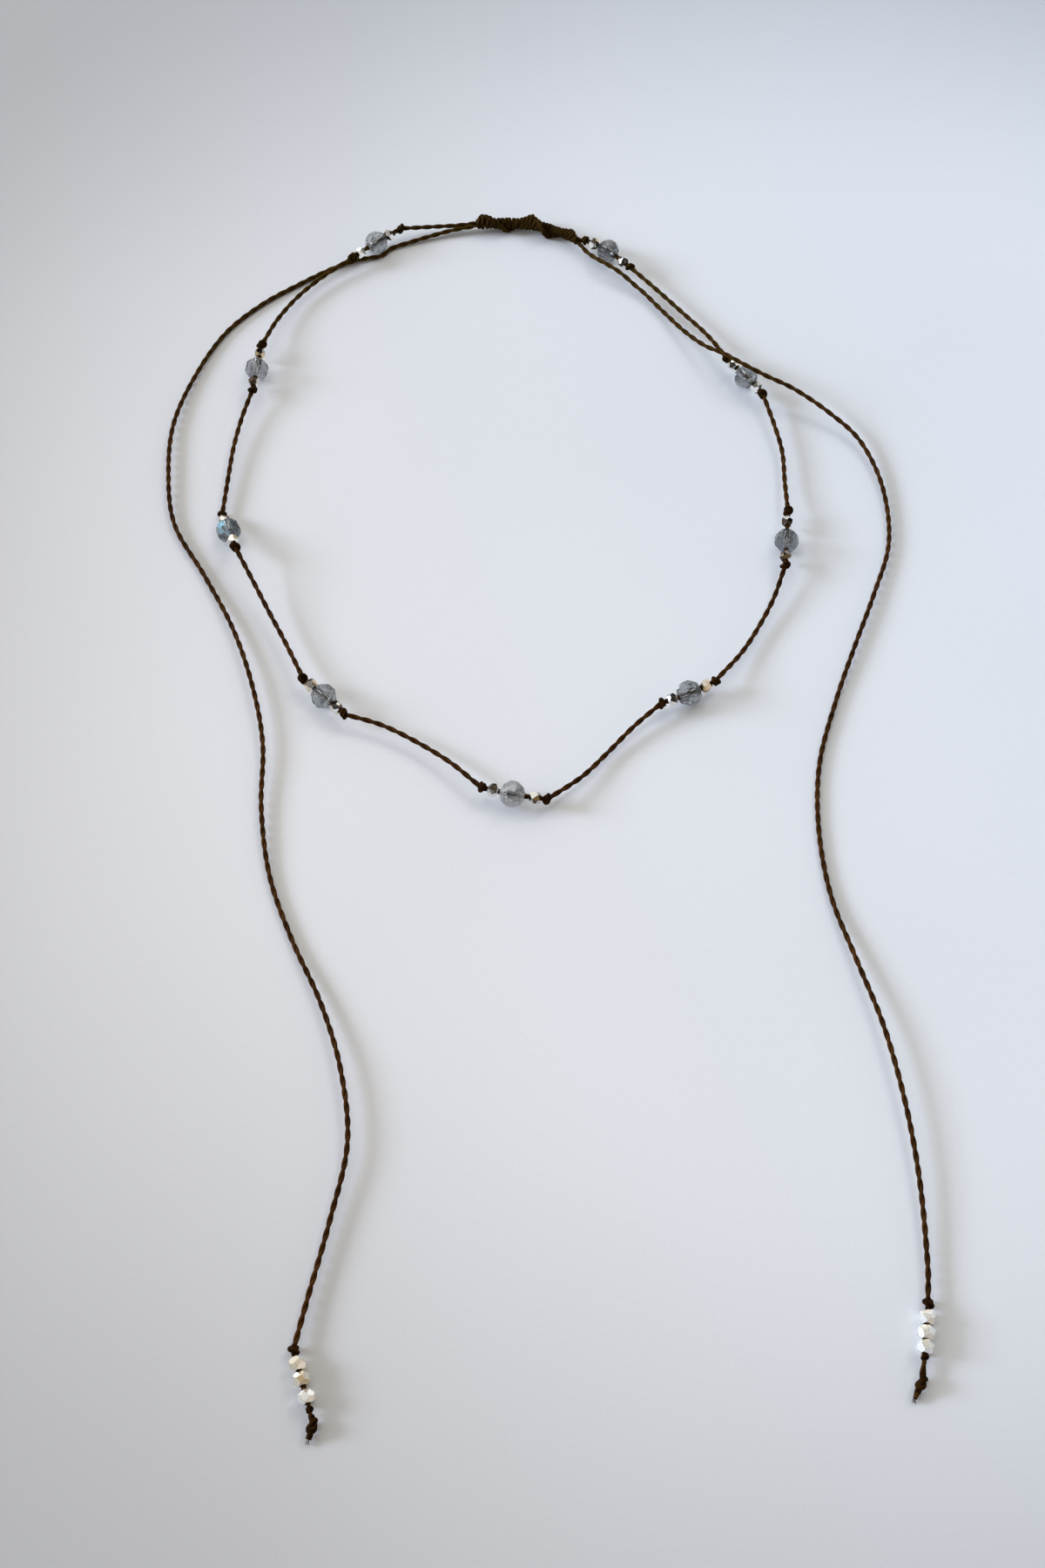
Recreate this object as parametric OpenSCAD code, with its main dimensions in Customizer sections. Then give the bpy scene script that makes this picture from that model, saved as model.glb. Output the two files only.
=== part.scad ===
// Slider necklace, lying on a flat surface: nine groups of beads on one waxed cord,
// a sliding knot at the back, and two long tails that end in three nuggets each.
// +Z is up from the surface, +Y points to the sliding knot, and the origin is the
// middle of the loop at surface height.

/* [Stones] */
// Width of a faceted stone
stone_d = 4; // [3.6:0.1:4]
// Length of a stone along its bore
stone_len = 4; // [3.6:0.1:4]
// Unevenness of the hand-cut facets
stone_wobble = 1; // [0:0.25:1.5]

/* [Nuggets] */
// Width of a silver nugget on the loop
nugget_d = 2; // [1.8:0.05:2.1]
// Length of a loop nugget along its bore
nugget_len = 1.8; // [1.5:0.05:1.8]
// Width of a silver nugget on a tail
tail_nugget_d = 2.3; // [2:0.05:2.4]
// Length of a tail nugget along its bore
tail_nugget_len = 1.9; // [1.6:0.05:1.9]
// Unevenness of the hand-cut nuggets
nugget_wobble = 1; // [0:0.25:1.25]

/* [Cord] */
// Thickness of the waxed cord
cord_d = 0.7; // [0.6:0.05:0.7]
// Bore through every bead
bore_d = 1; // [0.95:0.05:1.1]
// Width of a knot beside the beads
knot_d = 1.5; // [1.2:0.05:1.5]
// Length of a knot beside the beads
knot_len = 1.6; // [1.2:0.1:1.6]

/* [Sliding knot] */
// Thickness of the sliding knot, over its ridge
slider_d = 2.5; // [2.4:0.05:2.5]
// How far the spiral ridge stands out
slider_ridge = 0.4; // [0:0.05:0.4]
// Turns that the ridge makes
slider_turns = 2.3; // [1:0.1:3]
// Half knots along the sliding knot
slider_knots = 16; // [10:1:18]

/* [Hidden] */
// Bead groups, from the left of the sliding knot round the front to its right. Columns:
// place of the stone, direction of the cord, its rise, the distance from the stone to the
// knot and the nugget before it and to the nugget and the knot after it, and how far the
// cord turns at the stone's face before it and after it.
X = 0;
Y = 1;
HEADING = 2;
RISE = 3;
KNOT_A = 4;
NUGGET_A = 5;
NUGGET_B = 6;
KNOT_B = 7;
TURN_A = 8;
TURN_B = 9;
GROUPS = [
  [-24.7, 58.0, -139, 0, 5.8, 3.10, 4.00, 5.80, -3, 3],
  [-45.0, 26.4, -95, 0, 5.8, 3.80, 3.15, 5.05, 0, 0],
  [-47.4, -10.5, -71, 15, 4.9, 3.05, 3.05, 4.90, 0, 0],
  [-29.6, -44.5, -45, 0, 4.9, 3.05, 3.05, 4.90, 0, 0],
  [1.0, -63.1, -12, 0, 5.0, 3.15, 3.65, 5.60, -3, 3],
  [29.6, -43.9, 26, 0, 4.9, 3.05, 3.15, 5.00, -5, 5],
  [47.4, -12.6, 84, 0, 5.4, 3.40, 4.10, 6.40, 0, 0],
  [42.5, 24.5, 125, 0, 4.9, 3.05, 3.50, 5.40, 0, 0],
  [18.5, 55.8, 138, 0, 5.7, 3.90, 3.20, 5.00, -6, 16]
];

// Bare cord of the loop, one row for each stretch between the groups
LOOP_ROUTE = [
  [[-9.5, 63.5, 1], [-14.5, 63, 1.1]],
  [[-34, 50, 1.5], [-38.5, 45, 1.3], [-42, 39, 1.5]],
  [[-47, 15, 1.5], [-48, 8.5, 1.2], [-48.5, 1.5, 1]],
  [[-42.5, -21.5, 2.5], [-39.5, -27.5, 1.9], [-36.5, -33.5, 1.7]],
  [[-20, -50, 1.8], [-14.5, -53, 1.6], [-9, -57, 1.8]],
  [[12, -59.5, 1.3], [16, -55, 1], [20.5, -50, 1.4]],
  [[38.5, -35.5, 1.2], [41.5, -30.5, 1.1], [44.5, -24.5, 1.4]],
  [[48, 0.5, 1.5], [48, 7.5, 1.4], [47, 13.5, 1.5]],
  [[36, 35, 1.7], [31.5, 41, 1.5], [27, 46.5, 1.7]],
  []
];

// Tails, from the sliding knot to the last knot before the nuggets
LEFT_ROUTE = [
  [-11, 62.2, 0.9], [-18, 59.8, 0.5], [-21.8, 58.2, 0.4], [-24, 56.1, 0.4],
  [-28.3, 55.1, 0.4], [-33, 52.7, 0.4], [-39.3, 48.4, 0.4], [-45.5, 43.5, 0.4],
  [-51.5, 36.5, 0.4], [-56, 26.5, 0.5], [-59, 15, 0.7], [-59, 3.5, 0.8],
  [-57, -8, 0.6], [-51, -19, 0.5], [-45.5, -30, 0.9], [-41.5, -41.5, 1.2], [-39, -53, 1.1],
  [-38.5, -65, 0.8], [-36.5, -77, 0.5], [-32.5, -88, 0.5], [-27.5, -99, 0.9],
  [-24, -110, 1.3], [-22.5, -121.5, 1.3], [-24.5, -133, 1], [-27, -144, 0.9]
];
RIGHT_ROUTE = [
  [13.8, 57.9, 0.95], [14.4, 56.9, 0.95], [15.6, 55.2, 1.3], [16.9, 53.6, 1.8],
  [18.7, 52, 2], [20.4, 50.7, 1.8], [22, 49.2, 1.5], [23.5, 47.6, 1.2], [25.1, 45.9, 1],
  [28.1, 41.8, 0.9], [32, 36, 1.5], [35.5, 31.5, 2.5], [38.5, 28.8, 3.5], [42, 25.3, 4.35],
  [46, 22.8, 4],
  [51, 20.5, 3], [57, 16, 1.8], [62, 10, 1.1], [65, 0, 0.7], [65, -12, 0.6],
  [61.5, -23, 0.7], [57.5, -33.5, 0.7], [53.5, -44.5, 0.5], [50, -56.5, 0.4],
  [49, -68.5, 0.4], [50, -80.5, 0.5], [53, -92, 1], [56, -103, 1.4], [58, -115, 1.5],
  [59, -127, 1.3], [59, -139, 1]
];
// Where the straight end of a tail starts, x and y, and its direction
LEFT_END = [-28.6, -151.5, -72];
RIGHT_END = [58.5, -145, -99];
// Middle of the last knot and the cut tip of each tail
LAST_KNOT = 0;
CUT = 1;
LEFT_TIP = [[-25.5, -161.8, 0.87], [-26, -163.5, 0.5]];
RIGHT_TIP = [[56.5, -156, 0.87], [55.5, -158, 0.5]];

// Curve of the sliding knot's middle, as the ends and the bend between them
SLIDER_LEFT = [-6, 63.4, 1.3];
SLIDER_BEND = [6, 65.2, 1.3];
SLIDER_RIGHT = [13, 59, 1.3];

// Facet rows of a stone: tilt towards the bore, pairs of facets, first angle round the bore
STONE_ROWS = [[0, 5, 0], [34, 10, 18], [62, 5, 0]];
ROW_TILT = 0;
ROW_PAIRS = 1;
ROW_FIRST = 2;
// Share of the width that the equator facets stand in, so that the corners come to full width
EQUATOR_SHARE = 0.985;
// Unevenness of stone facets: turn and tilt in degrees, and depth as a share of the radius
STONE_ROLL = 3;
STONE_TILT = 2;
STONE_DEPTH = 0.02;
// Facet pairs of a nugget, set out by the golden angle, and their unevenness
NUGGET_PAIRS = 8;
NUGGET_SHARE = 0.92;
GOLDEN_ANGLE = 137.5;
NUGGET_TURN = 9;
NUGGET_DEPTH = 0.05;
// Turn round the cord from one loop nugget to the next
NUGGET_ROLL = 77;
// Where the uneven numbers of each kind of bead start
STONE_SEED = 10;
NUGGET_SEED = 100;
LEFT_SEED = 200;
RIGHT_SEED = 210;

STONE_COLOUR = [0.60, 0.64, 0.68, 0.8];
SILVER_COLOUR = [0.86, 0.85, 0.82];
CORD_COLOUR = [0.30, 0.19, 0.12];
KNOT_COLOUR = [0.17, 0.11, 0.08];

// Distances from a tail's first knot to its three nuggets and to the small knot after them
LEFT_BEADS = [2.1, 4.25, 6.8, 8.6];
RIGHT_BEADS = [2.05, 4.2, 6.2, 7.65];
SMALL_KNOT = 3;
tail_knot_d = 1.4;
small_knot_d = 1.1;
small_knot_len = 0.9;
tip_knot_d = 1.6;
tip_knot_len = 3;
// Space between the two ends where the loop's cord goes on as a tail
JOINT_GAP = 0.1;
// Straight start of a tail as it leaves the sliding knot
LEAD = 0.5;

SIDES = 8;
LOOP_STEPS = 3;
TAIL_STEPS = 2;
STRAND_STEPS = 12;
SLIDER_SIDES = 12;
SLIDER_RINGS = 48;
// The sliding knot squeezes the two strands in it. Their thickness, the space from middle
// to middle, and the play round them
strand_d = 0.8 * cord_d;
strand_gap = cord_d + 0.05;
strand_play = 0.08;
// Where the ridge starts, how much each half knot shows, and the share drawn in at each end
RIDGE_START = 8;
KNOT_RIPPLE = 0.04;
END_SHARE = 0.05;

stone_z = EQUATOR_SHARE * stone_d / 2;
tail_nugget_z = NUGGET_SHARE * tail_nugget_d / 2;
// The cord turns this far out from a stone's middle
TURN_AT = stone_len / 2 + 0.05;
// A stone that is threaded at a slope stands on an edge of its bottom facet
tilted_rise = 0.14;

FIRST = 1;
LAST = len(GROUPS);
GAPS = len(LOOP_ROUTE);
SIDE_NAMES = ["a", "b"];

// Vectors and places
function unit(v) = v / norm(v);
function heading(angle, rise) = [cos(angle) * cos(rise), sin(angle) * cos(rise), sin(rise)];
function group_angle(i, along) = GROUPS[i - 1][HEADING]
  + (along < -TURN_AT ? GROUPS[i - 1][TURN_A] : along > TURN_AT ? GROUPS[i - 1][TURN_B] : 0);
function group_dir(i, along = 0) = heading(group_angle(i, along), GROUPS[i - 1][RISE]);
function group_z(i) = stone_z + (GROUPS[i - 1][RISE] == 0 ? 0 : tilted_rise);
function group_at(i, along) =
  let (straight = max(-TURN_AT, min(TURN_AT, along)))
  [GROUPS[i - 1][X], GROUPS[i - 1][Y], group_z(i)]
    + straight * group_dir(i) + (along - straight) * group_dir(i, along);
function knot_a(i) = group_at(i, -GROUPS[i - 1][KNOT_A]);
function knot_b(i) = group_at(i, GROUPS[i - 1][KNOT_B]);
function tail_start(end) = [end[X], end[Y], tail_nugget_z];
function tail_at(end, along) = tail_start(end) + along * heading(end[HEADING], 0);

// Sliding knot's middle line, u from 0 at the left to 1 at the right
function slider_at(u) =
  (1 - u) * (1 - u) * SLIDER_LEFT + 2 * u * (1 - u) * SLIDER_BEND + u * u * SLIDER_RIGHT;
function slider_dir(u) =
  unit((1 - u) * (SLIDER_BEND - SLIDER_LEFT) + u * (SLIDER_RIGHT - SLIDER_BEND));
function slider_side(u) = cross([0, 0, 1], slider_dir(u));
// A point round the middle line, out by r at an angle from the back, over the top
function slider_round(u, r, angle) =
  slider_at(u) + r * (cos(angle) * slider_side(u) + sin(angle) * [0, 0, 1]);
// The two strands wind half a turn round each other, so each tail leaves at the front
function strand_at(u, side) = slider_round(u, side * strand_gap / 2, 180 * u);

// Smooth curve through route points
function curve_at(a, b, c, d, t) =
  (2 * b + (c - a) * t + (2 * a - 5 * b + 4 * c - d) * t * t
    + (3 * b - a - 3 * c + d) * t * t * t) / 2;
function smooth(p, steps) =
  let (
    n = len(p),
    q = concat([2 * p[0] - p[1]], p, [2 * p[n - 1] - p[n - 2]])
  )
  concat(
    [
      for (i = [0:n - 2]) for (j = [0:steps - 1])
        curve_at(q[i], q[i + 1], q[i + 2], q[i + 3], j / steps)
    ],
    [p[n - 1]]
  );

// Rings of a tube: each is a place and a radius
PLACE = 0;
RADIUS = 1;
function plain_rings(p, d = cord_d) = [for (q = p) [q, d / 2]];
function inner(p) = [for (i = [1:len(p) - 2]) p[i]];

// Rings of a knot: places as shares of its half length, radii as shares of its own
KNOT_PROFILE = [[-1, 0], [-0.65, 0.83], [-0.3, 1], [0.3, 1], [0.65, 0.83], [1, 0]];
ALONG = 0;
OUT = 1;
function knot_rings(centre, dir_in, dir_out, length, width) = [
  for (s = KNOT_PROFILE)
    [
      centre + s[ALONG] * length / 2 * (s[ALONG] < 0 ? dir_in : dir_out),
      max(cord_d / 2, s[OUT] * width / 2)
    ]
];

// Bare stretches of the loop, 0 from the sliding knot to group 1, and so on round
function gap_from(g) = g == 0 ? strand_at(0, 1) : knot_b(g);
function gap_to(g) = g == GAPS - 1 ? strand_at(1, -1) : knot_a(g + 1);
function gap_line(g) = concat([gap_from(g)], LOOP_ROUTE[g], [gap_to(g)]);
function dir_from(g) = let (p = gap_line(g)) unit(p[1] - p[0]);
function dir_to(g) = let (p = gap_line(g), n = len(p)) unit(p[n - 1] - p[n - 2]);
function gap_rings(g) =
  let (
    start = gap_from(g) + (g == 0 ? 0 : knot_len / 2) * dir_from(g),
    end = gap_to(g) - (g == GAPS - 1 ? 0 : knot_len / 2) * dir_to(g)
  )
  plain_rings(inner(smooth(concat([start], LOOP_ROUTE[g], [end]), LOOP_STEPS)));
function group_rings(i) =
  let (a = -GROUPS[i - 1][KNOT_A], b = GROUPS[i - 1][KNOT_B])
  concat(
    knot_rings(knot_a(i), dir_to(i - 1), group_dir(i, a), knot_len, knot_d),
    plain_rings([group_at(i, -TURN_AT), group_at(i, TURN_AT)]),
    knot_rings(knot_b(i), group_dir(i, b), dir_from(i), knot_len, knot_d)
  );
function strand_rings(side, from, to) =
  plain_rings(
    [for (j = [0:STRAND_STEPS]) strand_at(from + (to - from) * j / STRAND_STEPS, side)],
    strand_d
  );

// The loop's cord: in at the right of the sliding knot, round the neck, and out at its left
function loop_rings() = concat(
  strand_rings(1, 1, 0),
  gap_rings(0),
  [for (i = [FIRST:LAST]) each concat(group_rings(i), gap_rings(i))],
  strand_rings(-1, 1, 0)
);

// A tail: from the sliding knot along its route, through three nuggets to the cut tip.
// It goes on from a strand of the loop's cord, out of the left (-1) or the right (1) end.
function tail_rings(out, route, end, beads, tip) =
  let (
    u = out < 0 ? 0 : 1,
    root = strand_at(u, out),
    first = tail_start(end),
    last = tail_at(end, beads[SMALL_KNOT]),
    dir_end = heading(end[HEADING], 0),
    dir_in = unit(first - route[len(route) - 1]),
    dir_tip = unit(tip[LAST_KNOT] - last),
    line = concat(
      [root + out * LEAD * slider_dir(u)], route, [first - knot_len / 2 * dir_in]
    )
  )
  concat(
    plain_rings([root + out * JOINT_GAP * slider_dir(u)], strand_d),
    plain_rings(smooth(line, TAIL_STEPS)),
    inner(knot_rings(first, dir_in, dir_end, knot_len, tail_knot_d)),
    [[first + knot_len / 2 * dir_end, cord_d / 2]],
    knot_rings(last, dir_end, dir_tip, small_knot_len, small_knot_d),
    knot_rings(
      tip[LAST_KNOT], dir_tip, unit(tip[CUT] - tip[LAST_KNOT]), tip_knot_len, tip_knot_d
    ),
    plain_rings([tip[CUT]])
  );

// Closed tube through rings
module tube(rings) {
  n = len(rings);
  dirs = [
    for (i = [0:n - 1])
      unit(rings[min(i + 1, n - 1)][PLACE] - rings[max(i - 1, 0)][PLACE])
  ];
  points = [
    for (i = [0:n - 1])
      let (side = unit(cross(dirs[i], [0, 0, 1])), up = cross(side, dirs[i]))
      for (k = [0:SIDES - 1])
        rings[i][PLACE]
          + rings[i][RADIUS] * (cos(360 * k / SIDES) * side + sin(360 * k / SIDES) * up)
  ];
  faces = concat(
    [[for (k = [0:SIDES - 1]) k]],
    [
      for (i = [0:n - 2]) for (k = [0:SIDES - 1]) for (half = [0, 1])
        let (
          a = i * SIDES + k,
          b = i * SIDES + (k + 1) % SIDES
        )
        half == 0 ? [a, a + SIDES, b + SIDES] : [a, b + SIDES, b]
    ],
    [[for (k = [SIDES - 1:-1:0]) (n - 1) * SIDES + k]]
  );
  polyhedron(points, faces, convexity = 10);
}

// Row of uneven numbers between -1 and 1, the same at each build
function uneven(count, seed) = rands(-1, 1, count, seed);

// One pair of parallel facets: roll round the bore, tilt towards it, half distance
module facet_pair(roll, tilt, half, size) {
  rotate([roll, 0, 0]) rotate([0, tilt, 0]) cube([size, size, 2 * half], center = true);
}

// A bead along X, cut by facet pairs and drilled
ROLL = 0;
TILT = 1;
HALF = 2;
module cut_bead(pairs, width, length) {
  difference() {
    intersection() {
      intersection_for(p = pairs) facet_pair(p[ROLL], p[TILT], p[HALF], 3 * width);
      cube([length, 3 * width, 3 * width], center = true);
    }
    rotate([0, 90, 0]) cylinder(h = 2 * length, d = bore_d, center = true, $fn = 32);
  }
}

// Facet pairs of stone i: the first pair stays level, so that the stone rests flat
function stone_pairs(i) = [
  for (row = STONE_ROWS)
    let (
      count = row[ROW_PAIRS],
      step = (row[ROW_TILT] == 0 ? 180 : 360) / count,
      w = uneven(3 * count, STONE_SEED * i + row[ROW_TILT])
    )
    for (k = [0:count - 1])
      let (level = row[ROW_TILT] == 0 && k == 0 ? 0 : stone_wobble)
      [
        row[ROW_FIRST] + k * step + level * STONE_ROLL * w[3 * k],
        row[ROW_TILT] + level * STONE_TILT * w[3 * k + 1],
        stone_d / 2 * (EQUATOR_SHARE + level * STONE_DEPTH * w[3 * k + 2])
      ]
];

// Facet pairs of a nugget, spread over its half sphere
function nugget_pairs(seed, width) =
  let (w = uneven(3 * NUGGET_PAIRS, seed))
  [
    for (k = [0:NUGGET_PAIRS - 1])
      let (level = k == 0 ? 0 : nugget_wobble)
      [
        GOLDEN_ANGLE * k + level * NUGGET_TURN * w[3 * k],
        asin(k / NUGGET_PAIRS) + level * NUGGET_TURN * w[3 * k + 1],
        width / 2 * (NUGGET_SHARE + level * NUGGET_DEPTH * w[3 * k + 2])
      ]
  ];

module on_cord(place, angle, rise, roll) {
  translate(place) rotate([0, 0, angle]) rotate([0, -rise, 0]) rotate([roll, 0, 0]) children();
}

module stone(i) {
  color(STONE_COLOUR)
    on_cord(group_at(i, 0), GROUPS[i - 1][HEADING], GROUPS[i - 1][RISE], 0)
      cut_bead(stone_pairs(i), stone_d, stone_len);
}

module nugget(i, s) {
  along = s == "a" ? -GROUPS[i - 1][NUGGET_A] : GROUPS[i - 1][NUGGET_B];
  number = 2 * i + (s == "a" ? 0 : 1);
  color(SILVER_COLOUR)
    on_cord(group_at(i, along), group_angle(i, along), GROUPS[i - 1][RISE], NUGGET_ROLL * number)
      cut_bead(nugget_pairs(NUGGET_SEED + number, nugget_d), nugget_d, nugget_len);
}

// Tail nuggets rest on their level facet
module tail_nugget(end, beads, k, seed) {
  color(SILVER_COLOUR)
    on_cord(tail_at(end, beads[k - 1]), end[HEADING], 0, 0)
      cut_bead(nugget_pairs(seed + k, tail_nugget_d), tail_nugget_d, tail_nugget_len);
}

module loop_cord() {
  color(CORD_COLOUR) tube(loop_rings());
}

module left_tail_cord() {
  color(CORD_COLOUR) tube(tail_rings(-1, LEFT_ROUTE, LEFT_END, LEFT_BEADS, LEFT_TIP));
}

module right_tail_cord() {
  color(CORD_COLOUR) tube(tail_rings(1, RIGHT_ROUTE, RIGHT_END, RIGHT_BEADS, RIGHT_TIP));
}

// Outside of the sliding knot: a spiral ridge of half knots, drawn in at both ends
function slider_r(u, angle) =
  let (
    base = slider_d / 2 - slider_ridge,
    ridge = slider_ridge * (1 + cos(angle - RIDGE_START - 360 * slider_turns * u)) / 2,
    ripple = KNOT_RIPPLE * cos(360 * slider_knots * u),
    drawn_in = min(1, u / END_SHARE, (1 - u) / END_SHARE)
  )
  base + drawn_in * (ridge + ripple) - KNOT_RIPPLE * (1 - drawn_in);

// The hole for the two strands, and the outside, at ring u and side k
function hole_at(u, k) =
  let (
    a = 360 * (k + 0.5) / SLIDER_SIDES,
    r = strand_d / 2 + strand_play,
    across = sign(cos(a)) * strand_gap / 2 + r * cos(a),
    over = r * sin(a)
  )
  slider_round(u, across, 180 * u) + over * (
    -sin(180 * u) * slider_side(u) + cos(180 * u) * [0, 0, 1]
  );
function outside_at(u, k) =
  let (angle = 360 * (k + 0.5) / SLIDER_SIDES + 180 * u)
  slider_round(u, slider_r(u, angle), angle);

module slider_knot() {
  n = SLIDER_RINGS;
  m = SLIDER_SIDES;
  outside = [for (i = [0:n]) for (k = [0:m - 1]) outside_at(i / n, k)];
  hole = [for (i = [0:n]) for (k = [0:m - 1]) hole_at(i / n, k)];
  h = len(outside);
  faces = concat(
    [
      for (i = [0:n - 1]) for (k = [0:m - 1])
        let (a = i * m + k, b = i * m + (k + 1) % m)
        each [
          [a, b + m, a + m], [a, b, b + m],
          [h + a, h + a + m, h + b + m], [h + a, h + b + m, h + b]
        ]
    ],
    [
      for (k = [0:m - 1])
        let (a = k, b = (k + 1) % m, c = n * m + a, d = n * m + b)
        each [
          [a, h + a, h + b], [a, h + b, b],
          [c, h + d, h + c], [c, d, h + d]
        ]
    ]
  );
  color(KNOT_COLOUR) polyhedron(concat(outside, hole), faces, convexity = 10);
}

for (i = [FIRST:LAST]) stone(i);
for (i = [FIRST:LAST]) for (s = SIDE_NAMES)
  nugget(i, s);
loop_cord();
slider_knot();
left_tail_cord();
right_tail_cord();
for (k = [1:3]) tail_nugget(LEFT_END, LEFT_BEADS, k, LEFT_SEED);
for (k = [1:3]) tail_nugget(RIGHT_END, RIGHT_BEADS, k, RIGHT_SEED);
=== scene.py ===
"""Looks of the slider necklace: twisted waxed cord, tied knots, grey stones and silver nuggets."""
import math

import bmesh
import bpy
import numpy as np
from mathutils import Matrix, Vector


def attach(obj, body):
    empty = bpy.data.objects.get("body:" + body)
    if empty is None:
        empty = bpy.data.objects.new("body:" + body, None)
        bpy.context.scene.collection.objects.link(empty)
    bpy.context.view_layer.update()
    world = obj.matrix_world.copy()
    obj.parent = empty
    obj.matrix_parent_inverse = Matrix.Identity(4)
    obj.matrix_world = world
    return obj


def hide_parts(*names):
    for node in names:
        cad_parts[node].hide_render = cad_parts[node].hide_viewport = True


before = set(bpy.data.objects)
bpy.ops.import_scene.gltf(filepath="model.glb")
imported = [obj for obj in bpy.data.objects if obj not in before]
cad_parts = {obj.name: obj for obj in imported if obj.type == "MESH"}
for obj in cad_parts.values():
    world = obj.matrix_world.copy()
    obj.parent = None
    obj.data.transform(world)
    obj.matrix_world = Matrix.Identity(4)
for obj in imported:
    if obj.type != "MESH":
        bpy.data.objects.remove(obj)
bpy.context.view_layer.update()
scene = bpy.context.scene
MM = 0.001

# ---- Camera: the photograph's own, 1200 x 1800 with a focal length of 2500 pixels ----
LOOKS_DOWN = 58  # degrees
camera = bpy.data.objects.new("camera", bpy.data.cameras.new("camera"))
scene.collection.objects.link(camera)
camera.data.sensor_fit = "VERTICAL"
camera.data.sensor_height = 36
camera.data.lens = 50
camera.data.clip_start = 0.01
camera.location = (2.6 * MM, -243.3 * MM, 293.3 * MM)
camera.rotation_euler = (math.radians(90 - LOOKS_DOWN), 0, 0)
scene.camera = camera

# ---- The route of the cord, as in the part's source ----
# Bead groups: place of the stone, direction of the cord and its rise in degrees, distance to the knot
# before it and to the knot after it, and the cord's turn before it and after it
X, Y, HEADING, RISE, KNOT_A, KNOT_B, TURN_A, TURN_B = range(8)
GROUPS = [
    [-24.7, 58.0, -139, 0, 5.8, 5.80, -3, 3],
    [-45.0, 26.4, -95, 0, 5.8, 5.05, 0, 0],
    [-47.4, -10.5, -71, 15, 4.9, 4.90, 0, 0],
    [-29.6, -44.5, -45, 0, 4.9, 4.90, 0, 0],
    [1.0, -63.1, -12, 0, 5.0, 5.60, -3, 3],
    [29.6, -43.9, 26, 0, 4.9, 5.00, -5, 5],
    [47.4, -12.6, 84, 0, 5.4, 6.40, 0, 0],
    [42.5, 24.5, 125, 0, 4.9, 5.40, 0, 0],
    [18.5, 55.8, 138, 0, 5.7, 5.00, -6, 16],
]
# Bare cord between the groups, from the sliding knot's left mouth round to its right one
LOOP_ROUTE = [
    [[-9.5, 63.5, 1], [-14.5, 63, 1.1]],
    [[-34, 50, 1.5], [-38.5, 45, 1.3], [-42, 39, 1.5]],
    [[-47, 15, 1.5], [-48, 8.5, 1.2], [-48.5, 1.5, 1]],
    [[-42.5, -21.5, 2.5], [-39.5, -27.5, 1.9], [-36.5, -33.5, 1.7]],
    [[-20, -50, 1.8], [-14.5, -53, 1.6], [-9, -57, 1.8]],
    [[12, -59.5, 1.3], [16, -55, 1], [20.5, -50, 1.4]],
    [[38.5, -35.5, 1.2], [41.5, -30.5, 1.1], [44.5, -24.5, 1.4]],
    [[48, 0.5, 1.5], [48, 7.5, 1.4], [47, 13.5, 1.5]],
    [[36, 35, 1.7], [31.5, 41, 1.5], [27, 46.5, 1.7]],
    [],
]
LEFT_ROUTE = [
    [-11, 62.2, 0.9], [-18, 59.8, 0.5], [-21.8, 58.2, 0.4], [-24, 56.1, 0.4],
    [-28.3, 55.1, 0.4], [-33, 52.7, 0.4], [-39.3, 48.4, 0.4], [-45.5, 43.5, 0.4],
    [-51.5, 36.5, 0.4], [-56, 26.5, 0.5], [-59, 15, 0.7], [-59, 3.5, 0.8],
    [-57, -8, 0.6], [-51, -19, 0.5], [-45.5, -30, 0.9], [-41.5, -41.5, 1.2], [-39, -53, 1.1],
    [-38.5, -65, 0.8], [-36.5, -77, 0.5], [-32.5, -88, 0.5], [-27.5, -99, 0.9],
    [-24, -110, 1.3], [-22.5, -121.5, 1.3], [-24.5, -133, 1], [-27, -144, 0.9],
]
RIGHT_ROUTE = [
    [13.8, 57.9, 0.95], [14.4, 56.9, 0.95], [15.6, 55.2, 1.3], [16.9, 53.6, 1.8],
    [18.7, 52, 2], [20.4, 50.7, 1.8], [22, 49.2, 1.5], [23.5, 47.6, 1.2], [25.1, 45.9, 1],
    [28.1, 41.8, 0.9], [32, 36, 1.5], [35.5, 31.5, 2.5], [38.5, 28.8, 3.5], [42, 25.3, 4.35],
    [46, 22.8, 4],
    [51, 20.5, 3], [57, 16, 1.8], [62, 10, 1.1], [65, 0, 0.7], [65, -12, 0.6],
    [61.5, -23, 0.7], [57.5, -33.5, 0.7], [53.5, -44.5, 0.5], [50, -56.5, 0.4],
    [49, -68.5, 0.4], [50, -80.5, 0.5], [53, -92, 1], [56, -103, 1.4], [58, -115, 1.5],
    [59, -127, 1.3], [59, -139, 1],
]
# The knot before each tail's nuggets and the way they go from it, the end knot and the cut behind
# them, and how far the small knot lies from the first
LEFT_END = [-28.6, -151.5, -72]
RIGHT_END = [58.5, -145, -99]
LEFT_TIP = [[-25.5, -161.8, 0.87], [-26, -163.5, 0.5]]
RIGHT_TIP = [[56.5, -156, 0.87], [55.5, -158, 0.5]]
LEFT_SMALL, RIGHT_SMALL = 8.6, 7.65
# The sliding knot's middle line is a curve from left to right that this bend draws outward
SLIDER_LEFT = np.array([-6, 63.4, 1.3])
SLIDER_BEND = np.array([6, 65.2, 1.3])
SLIDER_RIGHT = np.array([13, 59, 1.3])

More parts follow.
